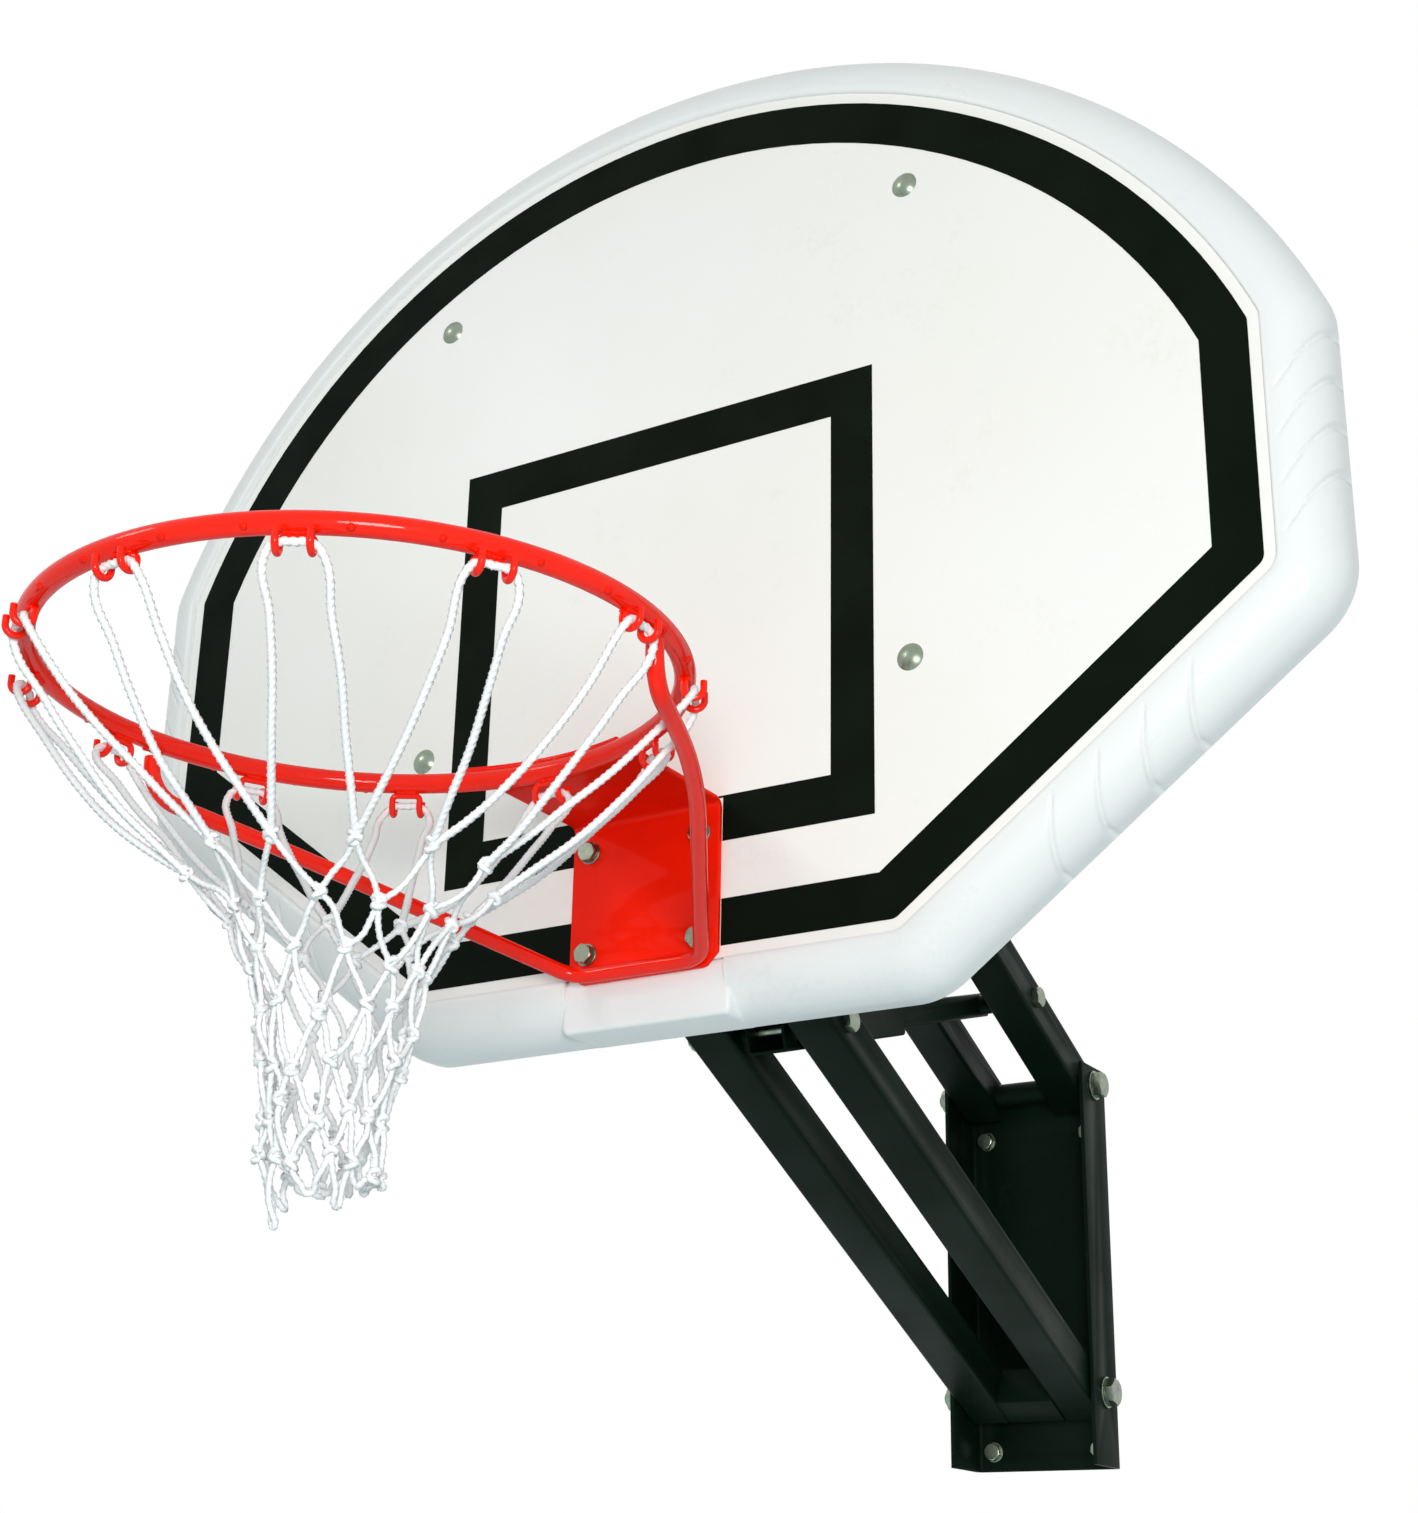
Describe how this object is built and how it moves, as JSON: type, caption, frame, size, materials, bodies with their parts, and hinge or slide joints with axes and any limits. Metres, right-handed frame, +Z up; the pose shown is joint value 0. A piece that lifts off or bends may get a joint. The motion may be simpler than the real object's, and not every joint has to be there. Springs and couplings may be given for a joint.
{
  "type": "basketball backboard",
  "caption": "Fan-shaped basketball backboard with ring and net, carried by parallel arms that swing from a wall bracket so that its height can be set.",
  "frame": {"origin": "centre of the wall bolt pattern on the wall face of the bracket", "axes": "+X right seen from the court, +Y into the wall, +Z up"},
  "size_m": [1.204, 1.4545, 1.2168],
  "materials": {
    "board_white": "satin moulded",
    "line_black": "satin film",
    "goal_orange": "gloss powder coat",
    "net_white": "braided cord",
    "bracket_black": "satin powder coat",
    "zinc": "zinc plated",
    "bush_plastic": "matte",
    "knob_black": "matte"
  },
  "bodies": {
    "wall_bracket": {"wall_bracket": "bracket_black", "wall_bolts": "zinc", "wall_washers": "zinc", "wall_pivot_bolts": "zinc", "wall_pivot_nuts": "zinc", "wall_pivot_washers": "zinc", "wall_thrust_washers": "bush_plastic"},
    "lower_arms": {"lower_arm_left": "bracket_black", "lower_arm_right": "bracket_black", "lower_arm_bushes": "bush_plastic", "lower_adjuster_bolt": "zinc", "lower_adjuster_nut": "zinc", "lower_adjuster_spacers": "bracket_black", "lower_cross_tube": "bracket_black", "lower_arm_spacer": "bracket_black"},
    "upper_arms": {"upper_arm_left": "bracket_black", "upper_arm_right": "bracket_black", "upper_arm_bushes": "bush_plastic", "upper_adjuster_bolt": "zinc", "upper_adjuster_nut": "zinc", "upper_adjuster_spacers": "bracket_black", "upper_arm_spacers": "bracket_black"},
    "board": {"board_panel": "board_white", "board_frame": "board_white", "boundary_line": "line_black", "target_square": "line_black", "board_channel": "bracket_black", "upper_rail_left": "bracket_black", "upper_rail_right": "bracket_black", "lower_rail_left": "bracket_black", "lower_rail_right": "bracket_black", "board_bolts": "zinc", "board_bolt_washers": "zinc", "board_bolt_nuts": "zinc", "goal_plate": "goal_orange", "hoop_ring": "goal_orange", "hoop_brace": "goal_orange", "net_hooks": "goal_orange", "net": "net_white", "goal_bolts": "zinc", "goal_washers": "zinc", "goal_nuts": "zinc", "board_pivot_bolts": "zinc", "board_pivot_nuts": "zinc", "board_pivot_washers": "zinc", "board_thrust_washers": "bush_plastic"},
    "adjuster_tube": {"adjuster_tube": "bracket_black"},
    "adjuster_bar": {"adjuster_bar": "bracket_black"},
    "clamp_knob": {"clamp_knob": "knob_black"}
  },
  "joints": [
    {"name": "lift", "type": "hinge", "parent": "wall_bracket", "child": "lower_arms", "pos_m": [0, -0.034, -0.112], "axis": [-1, 0, 0], "range_deg": [-25, 5]},
    {"name": "upper_swing", "type": "hinge", "parent": "wall_bracket", "child": "upper_arms", "pos_m": [0, -0.034, 0.208], "axis": [-1, 0, 0], "range_deg": [-25, 5]},
    {"name": "board_level", "type": "hinge", "parent": "lower_arms", "child": "board", "pos_m": [0, -0.71554, 0.21747], "axis": [-1, 0, 0], "range_deg": [-5, 25]},
    {"name": "adjuster_tube_swing", "type": "hinge", "parent": "lower_arms", "child": "adjuster_tube", "pos_m": [0, -0.58049, 0.15218], "axis": [-1, 0, 0], "range_deg": [-1.4, 6.7]},
    {"name": "adjuster_bar_swing", "type": "hinge", "parent": "upper_arms", "child": "adjuster_bar", "pos_m": [0, -0.16905, 0.27329], "axis": [-1, 0, 0], "range_deg": [-1.4, 6.7]},
    {"name": "clamp_turn", "type": "hinge", "parent": "adjuster_tube", "child": "clamp_knob", "pos_m": [0, -0.38575, 0.2095], "axis": [-1, 0, 0], "range_deg": [0, 360]}
  ],
  "couplings": [
    {"joint": "upper_swing", "follows": "lift", "ratio": 1},
    {"joint": "board_level", "follows": "lift", "ratio": -1},
    {"joint": "adjuster_tube_swing", "follows": "lift", "ratio": -0.265},
    {"joint": "adjuster_bar_swing", "follows": "lift", "ratio": -0.265}
  ]
}
